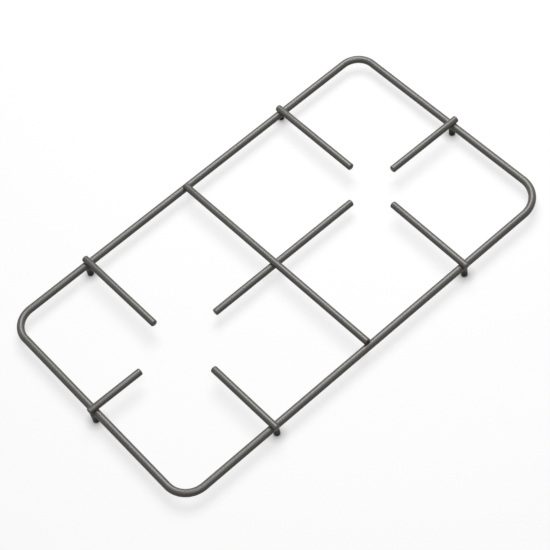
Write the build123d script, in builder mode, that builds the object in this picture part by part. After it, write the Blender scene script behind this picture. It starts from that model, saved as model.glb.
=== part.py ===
import os

from build123d import *

os.makedirs("parts", exist_ok=True)

# Frame: one round rod bent into a rounded rectangle, sizes at the rod's centreline
frame_length = 460.0
frame_width = 266.0
frame_rod = 7.6
back_left_radius = 23.5
back_right_radius = 21.0
front_left_radius = 24.0
front_right_radius = 29.0

# Rods welded to the frame
bar_rod = 7.2
foot_rod = 6.5
foot_height = 10.2  # clear height under the frame
back_overhang = 4.2  # of the back fingers, past the centreline of the rail that carries them
overhang = 6.0  # of the other fingers
end_chamfer = 1.0  # edge of a cut rod end
weld_set = 1.9  # depth that one rod is pressed into the next

# Cross bar: where it meets the two long rails, and how far short of their centrelines it stops
cross_bar_back_x = -8.0
cross_bar_front_x = -3.6
cross_bar_inset = 1.0

# Centre bar: runs below the cross bar, and its two ends point at the two burners
centre_bar_left_y = -0.8
centre_bar_left_reach = 81.9
centre_bar_right_y = -1.6
centre_bar_right_reach = 95.9

# Fingers: place on the rail from its middle, place of the tip along the rail, reach of the tip from the rail
back_left_at = -133.6
back_left_tip_at = -132.2
back_left_reach = 104.6
back_right_at = 121.8
back_right_tip_at = 122.0
back_right_reach = 106.6
front_left_at = -122.9
front_left_tip_at = -123.9
front_left_reach = 83.5
front_right_at = 118.7
front_right_tip_at = 119.8
front_right_reach = 97.6
left_at = -1.3
left_tip_at = -2.3
left_reach = 56.1
right_at = -6.1
right_tip_at = -5.1
right_reach = 82.1

# Feet: place on the rail from its middle, and distance out from the rail's centreline
back_left_foot_at = -135.8
back_left_foot_out = -1.8
back_right_foot_at = 123.6
back_right_foot_out = 4.5
front_left_foot_at = -121.3
front_left_foot_out = 0.3
front_right_foot_at = 119.0
front_right_foot_out = 1.0
left_foot_at = -2.3
left_foot_out = 2.8
right_foot_at = -5.5
right_foot_out = -0.3

# Heights of the rod axes above the surface that the feet stand on
rail_height = foot_height + frame_rod / 2
bar_height = rail_height + frame_rod / 2 + bar_rod / 2 - weld_set
centre_bar_height = bar_height - bar_rod + weld_set

half_length = frame_length / 2
half_width = frame_width / 2


def save(piece, name):
    piece.part.label = name
    export_step(piece.part, f"parts/{name}.step")


# Frame ring
with BuildPart() as frame_ring:
    with BuildLine(Plane.XY.offset(rail_height)) as centreline:
        FilletPolyline(
            (-half_length, half_width),
            (-half_length, -half_width),
            (half_length, -half_width),
            (half_length, half_width),
            radius=(back_left_radius, front_left_radius, front_right_radius, back_right_radius),
            close=True,
        )
    run = centreline.line % 0
    with BuildSketch(Plane(centreline.line @ 0, x_dir=run.cross(Vector(0, 0, 1)), z_dir=run)):
        Circle(frame_rod / 2)
    sweep()
save(frame_ring, "frame_ring")

# Centre bar
left_end = Vector(-centre_bar_left_reach, centre_bar_left_y, centre_bar_height)
right_end = Vector(centre_bar_right_reach, centre_bar_right_y, centre_bar_height)
centre_run = right_end - left_end
with BuildPart() as centre_bar:
    with BuildSketch(Plane(left_end, z_dir=centre_run)):
        Circle(bar_rod / 2)
    extrude(amount=centre_run.length)
    chamfer(centre_bar.edges().filter_by(GeomType.CIRCLE), end_chamfer)
save(centre_bar, "centre_bar")

# Cross bar, seated on both long rails and on the centre bar
back_end = Vector(cross_bar_back_x, half_width - cross_bar_inset, bar_height)
front_end = Vector(cross_bar_front_x, cross_bar_inset - half_width, bar_height)
cross_run = front_end - back_end
with BuildPart() as cross_bar:
    with BuildSketch(Plane(back_end, z_dir=cross_run)):
        Circle(bar_rod / 2)
    extrude(amount=cross_run.length)
    chamfer(cross_bar.edges().filter_by(GeomType.CIRCLE), end_chamfer)
    add(centre_bar.part, mode=Mode.SUBTRACT)
    add(frame_ring.part, mode=Mode.SUBTRACT)
save(cross_bar, "cross_bar")

# Rails: middle of the centreline, way along the rail and way inwards
back_rail = (Vector(0, half_width), Vector(1, 0), Vector(0, -1))
front_rail = (Vector(0, -half_width), Vector(1, 0), Vector(0, 1))
left_rail = (Vector(-half_length, 0), Vector(0, 1), Vector(1, 0))
right_rail = (Vector(half_length, 0), Vector(0, 1), Vector(-1, 0))

# Fingers, seated on the frame: rail, place on it, overhang, place of the tip and reach
fingers = {
    "back_left": (back_rail, back_left_at, back_overhang, back_left_tip_at, back_left_reach),
    "back_right": (back_rail, back_right_at, back_overhang, back_right_tip_at, back_right_reach),
    "front_left": (front_rail, front_left_at, overhang, front_left_tip_at, front_left_reach),
    "front_right": (front_rail, front_right_at, overhang, front_right_tip_at, front_right_reach),
    "left": (left_rail, left_at, overhang, left_tip_at, left_reach),
    "right": (right_rail, right_at, overhang, right_tip_at, right_reach),
}
for place, (rail, at, past, tip_at, reach) in fingers.items():
    middle, along, inwards = rail
    on_rail = middle + along * at + Vector(0, 0, bar_height)
    tip = middle + along * tip_at + inwards * reach + Vector(0, 0, bar_height)
    finger_run = tip - on_rail
    outer_end = on_rail - finger_run.normalized() * past
    with BuildPart() as finger:
        with BuildSketch(Plane(outer_end, z_dir=finger_run)):
            Circle(bar_rod / 2)
        extrude(amount=past + finger_run.length)
        chamfer(finger.edges().filter_by(GeomType.CIRCLE), end_chamfer)
        add(frame_ring.part, mode=Mode.SUBTRACT)
    save(finger, f"finger_{place}")

# Feet, seated against the frame: rail, place on it and distance out
feet = {
    "back_left": (back_rail, back_left_foot_at, back_left_foot_out),
    "back_right": (back_rail, back_right_foot_at, back_right_foot_out),
    "front_left": (front_rail, front_left_foot_at, front_left_foot_out),
    "front_right": (front_rail, front_right_foot_at, front_right_foot_out),
    "left": (left_rail, left_foot_at, left_foot_out),
    "right": (right_rail, right_foot_at, right_foot_out),
}
for place, (rail, at, out) in feet.items():
    middle, along, inwards = rail
    with BuildPart() as foot:
        with BuildSketch(Plane(middle + along * at - inwards * out)):
            Circle(foot_rod / 2)
        extrude(amount=rail_height)
        add(frame_ring.part, mode=Mode.SUBTRACT)
    save(foot, f"foot_{place}")
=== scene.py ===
from math import cos, pi, radians, sin

import bpy
from mathutils import Matrix, Vector


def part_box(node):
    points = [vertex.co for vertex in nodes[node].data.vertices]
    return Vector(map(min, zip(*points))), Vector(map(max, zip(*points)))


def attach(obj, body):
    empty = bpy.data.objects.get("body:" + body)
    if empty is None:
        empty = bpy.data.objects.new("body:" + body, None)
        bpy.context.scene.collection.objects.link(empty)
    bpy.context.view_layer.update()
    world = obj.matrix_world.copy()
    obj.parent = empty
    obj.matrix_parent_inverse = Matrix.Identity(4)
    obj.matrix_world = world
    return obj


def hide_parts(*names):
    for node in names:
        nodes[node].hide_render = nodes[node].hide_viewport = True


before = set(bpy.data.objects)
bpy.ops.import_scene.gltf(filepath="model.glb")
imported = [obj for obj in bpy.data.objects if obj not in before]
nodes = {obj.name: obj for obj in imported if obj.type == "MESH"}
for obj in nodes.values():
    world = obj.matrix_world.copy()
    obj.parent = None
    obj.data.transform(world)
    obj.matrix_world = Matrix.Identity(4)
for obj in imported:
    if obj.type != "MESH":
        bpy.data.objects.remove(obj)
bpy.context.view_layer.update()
mm = 0.001
print("frame loaded:", len(nodes), "rods")


class Shade:  # a shader socket that can be added, taken away and multiplied
    def __init__(self, tree, socket=None):
        self.tree = tree
        self.socket = socket

    def node(self, kind, settings, values, output=0):
        made = self.tree.nodes.new(kind)
        for key, value in settings.items():
            if key == "stops":
                for stop, (position, colour) in zip(made.color_ramp.elements, value):
                    stop.position = position
                    stop.color = colour
            else:
                setattr(made, key, value)
        for key, value in values.items():
            if isinstance(value, Shade):
                self.tree.links.new(value.socket, made.inputs[key])
            else:
                made.inputs[key].default_value = value
        return Shade(self.tree, made.outputs[output] if len(made.outputs) else None)

    def sum(self, operation, first, second):
        return self.node("ShaderNodeMath", {"operation": operation}, {0: first, 1: second})

    def __add__(self, other):
        return self.sum("ADD", self, other)

    def __radd__(self, other):
        return self.sum("ADD", other, self)

    def __sub__(self, other):
        return self.sum("SUBTRACT", self, other)

    def __rsub__(self, other):
        return self.sum("SUBTRACT", other, self)

    def __mul__(self, other):
        return self.sum("MULTIPLY", self, other)

    def __rmul__(self, other):
        return self.sum("MULTIPLY", other, self)


def emptyTree(owner):
    owner.use_nodes = True
    owner.node_tree.nodes.clear()
    return Shade(owner.node_tree)


# Enamel
enamel = {
    "dark": (0.032, 0.0305, 0.027, 1),
    "light": (0.040, 0.038, 0.034, 1),
    "roughness": 0.40,
    "roughnessSpread": 0.08,
    "specular": 0.38,
    "cloud": {"Scale": 45, "Detail": 4},  # patches about 20 mm across
    "peel": {"Scale": 420, "Detail": 2},  # ripples about 2.4 mm across
    "grain": {"Scale": 2600, "Detail": 1},
    "cloudTone": 0.85,  # shares of the two in the colour
    "grainTone": 0.15,
    "toneLow": 0.34,
    "toneHigh": 0.66,
    "grainBump": 0.25,
    "bumpDepth": 0.003 * mm,
    "bumpStrength": 0.5,
}
footShadeLook = enamel | {  # painted shade: darker and duller towards the floor, where the foot stands in shade
    "dark": (0.018, 0.017, 0.015, 1),
    "light": (0.026, 0.025, 0.022, 1),
    "roughness": 0.55,
    "specular": 0.15,
    # heights over which the painted shade on a foot fades out
    "fadeLow": 5.0 * mm,
    "fadeHigh": 13.0 * mm,
}


def enamelSurface(start, look):
    place = start.node("ShaderNodeTexCoord", {}, {}, "Object")
    cloud = start.node("ShaderNodeTexNoise", {}, {"Vector": place, **look["cloud"]})
    peel = start.node("ShaderNodeTexNoise", {}, {"Vector": place, **look["peel"]})
    grain = start.node("ShaderNodeTexNoise", {}, {"Vector": place, **look["grain"]})
    tone = cloud * look["cloudTone"] + grain * look["grainTone"]
    colour = start.node(
        "ShaderNodeValToRGB",
        {"stops": ((look["toneLow"], look["dark"]), (look["toneHigh"], look["light"]))},
        {"Fac": tone},
    )
    roughness = look["roughness"] + (cloud - 0.5) * look["roughnessSpread"]
    height = peel + look["grainBump"] * grain
    bump = start.node(
        "ShaderNodeBump",
        {},
        {"Height": height, "Strength": look["bumpStrength"], "Distance": look["bumpDepth"]},
    )
    return start.node(
        "ShaderNodeBsdfPrincipled",
        {},
        {
            "Base Color": colour,
            "Roughness": roughness,
            "Specular IOR Level": look["specular"],
            "Normal": bump,
        },
    )


def makeRodEnamel():
    material = bpy.data.materials.new("rod_enamel")
    start = emptyTree(material)
    start.node("ShaderNodeOutputMaterial", {}, {"Surface": enamelSurface(start, enamel)})
    return material


# painted shade: a foot's colour fades from the darker, duller enamel near the floor to the rod enamel
# higher up
def makeFootShadeEnamel():
    material = bpy.data.materials.new("foot_enamel")
    start = emptyTree(material)
    place = start.node("ShaderNodeTexCoord", {}, {}, "Object")
    height = start.node("ShaderNodeSeparateXYZ", {}, {"Vector": place}, "Z")
    shadeFade = start.node(
        "ShaderNodeMapRange",
        {"interpolation_type": "SMOOTHSTEP"},
        {"Value": height, "From Min": footShadeLook["fadeLow"], "From Max": footShadeLook["fadeHigh"]},
    )
    shadedSurface = enamelSurface(start, footShadeLook)
    glossy = enamelSurface(start, enamel)
    both = start.node("ShaderNodeMixShader", {}, {0: shadeFade, 1: shadedSurface, 2: glossy})
    start.node("ShaderNodeOutputMaterial", {}, {"Surface": both})
    return material


rodEnamel = makeRodEnamel()
footShadeEnamel = makeFootShadeEnamel()
print("enamel mixed")


def deselect():
    bpy.ops.object.select_all(action="DESELECT")


def finishPiece(piece, name, material, replaced=None):
    piece.name = name
    piece.data.name = name
    piece.data.materials.clear()
    piece.data.materials.append(material)
    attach(piece, "root")
    if replaced:
        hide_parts(replaced)


# Frame: one bent rod
ringLook = {"sides": 64, "cornerSteps": 24, "merge": 0.002 * mm, "lineReach": 0.05 * mm}
quarterTurn = -pi / 2  # spin counts a turn to the left as negative
ringLow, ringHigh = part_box("frame_ring")
railRadius = (ringHigh.z - ringLow.z) / 2
railHeight = (ringHigh.z + ringLow.z) / 2
railLow = ringLow + Vector((railRadius, railRadius, railRadius))  # corners of the rod's centreline
railHigh = ringHigh - Vector((railRadius, railRadius, railRadius))


def straightRun(side, edge, along):  # ends of a straight rail, read on its outermost line
    points = [v.co for v in nodes["frame_ring"].data.vertices]
    line = [p[along] for p in points if abs(p[side] - edge) < ringLook["lineReach"]]
    return min(line), max(line)


def makeRing():
    backLeft, backRight = straightRun(1, ringHigh.y, 0)
    frontLeft, frontRight = straightRun(1, ringLow.y, 0)
    leftFront, leftBack = straightRun(0, ringLow.x, 1)
    rightFront, rightBack = straightRun(0, ringHigh.x, 1)
    bends = (  # end of each straight run, and middle of the bend that follows
        ((backLeft, railHigh.y), (backLeft, leftBack)),
        ((railLow.x, leftFront), (frontLeft, leftFront)),
        ((frontRight, railLow.y), (frontRight, rightFront)),
        ((railHigh.x, rightBack), (backRight, rightBack)),
    )
    deselect()
    bpy.ops.mesh.primitive_circle_add(
        vertices=ringLook["sides"],
        radius=railRadius,
        location=(0, railHigh.y, railHeight),
        rotation=(0, pi / 2, 0),
    )
    bpy.ops.object.transform_apply(location=True, rotation=True, scale=True)
    ring = bpy.context.active_object
    here = Vector((0, railHigh.y))
    bpy.ops.object.mode_set(mode="EDIT")
    bpy.ops.mesh.select_all(action="SELECT")
    for (endX, endY), (midX, midY) in bends:
        step = Vector((endX, endY)) - here
        bpy.ops.mesh.extrude_region_move(TRANSFORM_OT_translate={"value": (step.x, step.y, 0)})
        bpy.ops.mesh.spin(
            steps=ringLook["cornerSteps"],
            angle=quarterTurn,
            center=(midX, midY, railHeight),
            axis=(0, 0, 1),
        )
        arm = Vector((endX - midX, endY - midY))
        here = Vector((midX - arm.y, midY + arm.x))  # the arm turned a quarter to the left
    bpy.ops.mesh.extrude_region_move(TRANSFORM_OT_translate={"value": (-here.x, 0, 0)})
    bpy.ops.mesh.select_all(action="SELECT")
    bpy.ops.mesh.remove_doubles(threshold=ringLook["merge"])
    bpy.ops.mesh.normals_make_consistent(inside=False)
    bpy.ops.object.mode_set(mode="OBJECT")
    bpy.ops.object.shade_smooth()
    return ring


ring = makeRing()
finishPiece(ring, "bent_frame", rodEnamel, "frame_ring")
print("frame bent:", len(ring.data.polygons), "faces")


# Straight rods and feet
rodLook = {
    "sides": 64,
    "endRound": 1.3 * mm,
    "footRound": 1.2 * mm,
    "footTopRound": 0.8 * mm,
    "endSteps": 6,
    "flatReach": 0.3 * mm,  # how deep an end face may lie, seen along the rod
    "facing": 0.99,  # least cosine between an end face's normal and the way it looks
    "smoothAngle": radians(40),
}


def rodEnds(name):  # middles of the two end faces of a straight CAD rod
    low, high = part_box(name)
    size = high - low
    along = max(range(3), key=lambda axis: size[axis])
    points = [v.co for v in nodes[name].data.vertices]
    ends = []
    for edge in (low[along], high[along]):
        face = [p for p in points if abs(p[along] - edge) < rodLook["flatReach"]]
        middle = [(min(p[axis] for p in face) + max(p[axis] for p in face)) / 2 for axis in range(2)]
        ends.append(Vector((*middle, (low.z + high.z) / 2)))  # a seat may cut the face's height
    return ends


def addRod(start, end, radius):
    run = end - start
    deselect()
    bpy.ops.mesh.primitive_cylinder_add(
        vertices=rodLook["sides"],
        radius=radius,
        depth=run.length,
        location=(start + end) / 2,
        rotation=run.to_track_quat("Z", "Y").to_euler(),
    )
    bpy.ops.object.transform_apply(location=True, rotation=True, scale=True)
    return bpy.context.active_object


def roundEnds(rod, ways, width):  # bevels the rim of each end face that looks one of these ways
    bpy.ops.object.mode_set(mode="EDIT")
    bpy.ops.mesh.select_mode(type="FACE")
    bpy.ops.mesh.select_all(action="DESELECT")
    bpy.ops.object.mode_set(mode="OBJECT")
    for face in rod.data.polygons:
        face.select = any(face.normal.dot(way) > rodLook["facing"] for way in ways)
    bpy.ops.object.mode_set(mode="EDIT")
    bpy.ops.mesh.region_to_loop()
    bpy.ops.mesh.bevel(offset=width, segments=rodLook["endSteps"], affect="EDGES")
    bpy.ops.object.mode_set(mode="OBJECT")


def seatOn(rod, other):  # cuts the other rod's form out of this one
    cut = rod.modifiers.new("seat", "BOOLEAN")
    cut.operation = "DIFFERENCE"
    cut.solver = "EXACT"
    cut.object = other
    bpy.ops.object.modifier_apply(modifier=cut.name)


def smoothRod(rod):
    deselect()
    rod.select_set(True)
    bpy.context.view_layer.objects.active = rod
    bpy.ops.object.shade_smooth_by_angle(angle=rodLook["smoothAngle"])


def makeRod(node, carriers):
    start, end = rodEnds(node)
    low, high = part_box(node)
    rod = addRod(start, end, (high.z - low.z) / 2)
    way = (end - start).normalized()
    roundEnds(rod, (way, -way), rodLook["endRound"])
    for carrier in carriers:
        seatOn(rod, carrier)
    smoothRod(rod)
    return rod


def makeFoot(node):
    low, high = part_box(node)
    middle = (low + high) / 2
    top = Vector((middle.x, middle.y, high.z))
    bottom = Vector((middle.x, middle.y, low.z))
    foot = addRod(bottom, top, (high.x - low.x) / 2)
    roundEnds(foot, (Vector((0, 0, -1)),), rodLook["footRound"])
    roundEnds(foot, (Vector((0, 0, 1)),), rodLook["footTopRound"])
    seatOn(foot, ring)
    smoothRod(foot)
    return foot


centreBar = makeRod("centre_bar", [])
finishPiece(centreBar, "centre_rod", rodEnamel, "centre_bar")
crossBar = makeRod("cross_bar", [ring, centreBar])
finishPiece(crossBar, "cross_rod", rodEnamel, "cross_bar")
places = [name.removeprefix("finger_") for name in nodes if name.startswith("finger_")]
for place in places:
    finger = makeRod(f"finger_{place}", [ring])
    finishPiece(finger, f"{place}_finger", rodEnamel, f"finger_{place}")
    foot = makeFoot(f"foot_{place}")
    finishPiece(foot, f"{place}_foot", footShadeEnamel, f"foot_{place}")
print("rods made:", 2 + 2 * len(places))


# Welds: fillets that run round each joint
weldLook = {
    "voxel": 0.4 * mm,
    "smoothing": 10,
    "smoothFactor": 0.5,
    "railReach": 9.0 * mm,  # how far a weld follows each rod, inside it
    "barReach": 9.0 * mm,
    "footReach": 6.0 * mm,
    "footCap": 0.6 * mm,  # how far a weld covers the top of a foot
    "endGap": 0.2 * mm,  # kept clear of a rounded end
    "fillRadius": 2.8 * mm,  # of the bead between a foot and the finger over it
    "fillSpread": 2.5 * mm,  # how far off the rail's middle that bead may meet the finger
    "fillDrop": 1.4 * mm,  # how far below the finger's middle that bead ends
}


def makeWeld(stubs):
    parts = [addRod(start, end, radius) for start, end, radius in stubs]
    deselect()
    for part in parts:
        part.select_set(True)
    bpy.context.view_layer.objects.active = parts[0]
    bpy.ops.object.join()
    weld = bpy.context.active_object
    melt = weld.modifiers.new("melt", "REMESH")
    melt.mode = "VOXEL"
    melt.voxel_size = weldLook["voxel"]
    flow = weld.modifiers.new("flow", "SMOOTH")
    flow.factor = weldLook["smoothFactor"]
    flow.iterations = weldLook["smoothing"]
    bpy.ops.object.modifier_apply(modifier=melt.name)
    bpy.ops.object.modifier_apply(modifier=flow.name)
    bpy.ops.object.shade_smooth()
    return weld


def stubAlong(node, spot, reach):  # the stretch of a bar near a spot, short of its rounded ends
    start, end = rodEnds(node)
    low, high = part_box(node)
    run = end - start
    way = run.normalized()
    clear = rodLook["endRound"] + weldLook["endGap"]
    at = (spot - start).dot(way)
    first = max(at - reach, clear)
    last = min(at + reach, run.length - clear)
    return start + way * first, start + way * last, (high.z - low.z) / 2


def spotAt(node, axis, value):  # where the middle of a straight bar passes a value of x or y
    start, end = rodEnds(node)
    return start.lerp(end, (value - start[axis]) / (end[axis] - start[axis]))


def railStub(spot, along):
    onRail = Vector((spot.x, spot.y, railHeight))
    reach = along * weldLook["railReach"]
    return onRail - reach, onRail + reach, railRadius


def footStubs(node, spot, outward):  # the top of a foot, and the bead from there to the finger over it
    low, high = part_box(node)
    middle = (low + high) / 2
    top = Vector((middle.x, middle.y, high.z + weldLook["footCap"]))
    bottom = Vector((middle.x, middle.y, high.z - weldLook["footReach"]))
    spread = weldLook["fillSpread"]
    out = max(-spread, min(spread, (middle - spot).dot(outward)))
    meet = spot + outward * out - Vector((0, 0, weldLook["fillDrop"]))
    under = Vector((middle.x, middle.y, high.z - weldLook["fillRadius"]))
    return [(bottom, top, (high.x - low.x) / 2), (under, meet, weldLook["fillRadius"])]


for place in places:
    start, end = rodEnds(f"finger_{place}")
    across = 0 if abs(end.x - start.x) > abs(end.y - start.y) else 1
    outward = Vector((0, 0, 0))
    outward[across] = 1 if start[across] + end[across] > 0 else -1
    rail = railHigh if outward[across] > 0 else railLow
    spot = spotAt(f"finger_{place}", across, rail[across])
    stubs = [
        railStub(spot, Vector((outward.y, outward.x, 0))),
        stubAlong(f"finger_{place}", spot, weldLook["barReach"]),
        *footStubs(f"foot_{place}", spot, outward),
    ]
    finishPiece(makeWeld(stubs), f"weld_{place}", rodEnamel)
for side, rail in (("front", railLow), ("back", railHigh)):
    spot = spotAt("cross_bar", 1, rail.y)
    stubs = [railStub(spot, Vector((1, 0, 0))), stubAlong("cross_bar", spot, weldLook["barReach"])]
    finishPiece(makeWeld(stubs), f"weld_{side}", rodEnamel)
centreLeft, centreRight = rodEnds("centre_bar")
spot = spotAt("cross_bar", 1, (centreLeft.y + centreRight.y) / 2)
stubs = [stubAlong(node, spot, weldLook["barReach"]) for node in ("cross_bar", "centre_bar")]
finishPiece(makeWeld(stubs), "weld_middle", rodEnamel)
print("welds run:", len(places) + 3)


# Floor, light and camera
floorLook = {
    "albedo": 0.128,
    "lift": 0.70,
    "size": 12.0,
    "drop": 0.05 * mm,
    "contactReach": 10.0 * mm,  # shade where a foot stands
    "contactDepth": 1.8,
}
lampLook = {
    "softbox": {"place": (0.60, 0.52, 1.50), "size": 1.25, "power": 62.0},
    "overhead": {"place": (-0.16, -0.48, 1.52), "size": 1.0, "power": 17.0},
}
skyLook = {"fill": 0.03}
cameraLook = {
    "azimuth": radians(-30.241),
    "elevation": radians(56.666),
    "roll": radians(13.267),
    "distance": 1.588075,
    "aim": Vector((-0.013298, -0.010528, railHeight)),
    "lens": 107.9,
}


def seenRays(start):
    rays = start.node("ShaderNodeLightPath", {}, {}, "Is Camera Ray")
    source = rays.socket.node
    shiny = Shade(start.tree, source.outputs["Is Glossy Ray"])
    through = Shade(start.tree, source.outputs["Is Transmission Ray"])
    return start.node("ShaderNodeMath", {"operation": "MAXIMUM"}, {0: rays, 1: shiny + through})


def makeFloor():
    deselect()
    bpy.ops.mesh.primitive_plane_add(size=floorLook["size"], location=(0, 0, -floorLook["drop"]))
    floor = bpy.context.active_object
    floor.name = "floor"
    material = bpy.data.materials.new("white_floor")
    start = emptyTree(material)
    albedo = floorLook["albedo"]
    paper = start.node("ShaderNodeBsdfDiffuse", {}, {"Color": (albedo, albedo, albedo, 1)})
    clear = start.node("ShaderNodeAmbientOcclusion", {}, {"Distance": floorLook["contactReach"]}, "AO")
    depth = floorLook["contactDepth"]
    contact = start.node("ShaderNodeMath", {"operation": "POWER"}, {0: clear, 1: depth})
    lift = seenRays(start) * floorLook["lift"]
    glow = start.node("ShaderNodeEmission", {}, {"Color": contact, "Strength": lift})
    both = start.node("ShaderNodeAddShader", {}, {0: paper, 1: glow})
    start.node("ShaderNodeOutputMaterial", {}, {"Surface": both})
    floor.data.materials.append(material)


def makeLamp(name, look):
    bpy.ops.object.light_add(type="AREA", location=look["place"])
    lamp = bpy.context.active_object
    lamp.name = name
    lamp.data.shape = "DISK"
    lamp.data.size = look["size"]
    lamp.data.energy = look["power"]
    toPart = -Vector(look["place"])
    lamp.rotation_euler = toPart.to_track_quat("-Z", "Y").to_euler()


def makeSky():
    world = bpy.data.worlds.new("studio")
    bpy.context.scene.world = world
    start = emptyTree(world)
    fill = skyLook["fill"]
    strength = fill + (1 - fill) * seenRays(start)
    sky = start.node("ShaderNodeBackground", {}, {"Color": (1, 1, 1, 1), "Strength": strength})
    start.node("ShaderNodeOutputWorld", {}, {"Surface": sky})


def makeCamera():
    azimuth = cameraLook["azimuth"]
    elevation = cameraLook["elevation"]
    back = Vector((sin(azimuth) * cos(elevation), -cos(azimuth) * cos(elevation), sin(elevation)))
    turn = (
        Matrix.Rotation(azimuth, 3, "Z")
        @ Matrix.Rotation(pi / 2 - elevation, 3, "X")
        @ Matrix.Rotation(-cameraLook["roll"], 3, "Z")
    )
    bpy.ops.object.camera_add(
        location=cameraLook["aim"] + back * cameraLook["distance"],
        rotation=turn.to_euler(),
    )
    camera = bpy.context.active_object
    camera.data.lens = cameraLook["lens"]
    bpy.context.scene.camera = camera


makeFloor()
for name, look in lampLook.items():
    makeLamp(name, look)
makeSky()
makeCamera()
bpy.context.scene.view_settings.view_transform = "Standard"
print("studio set")
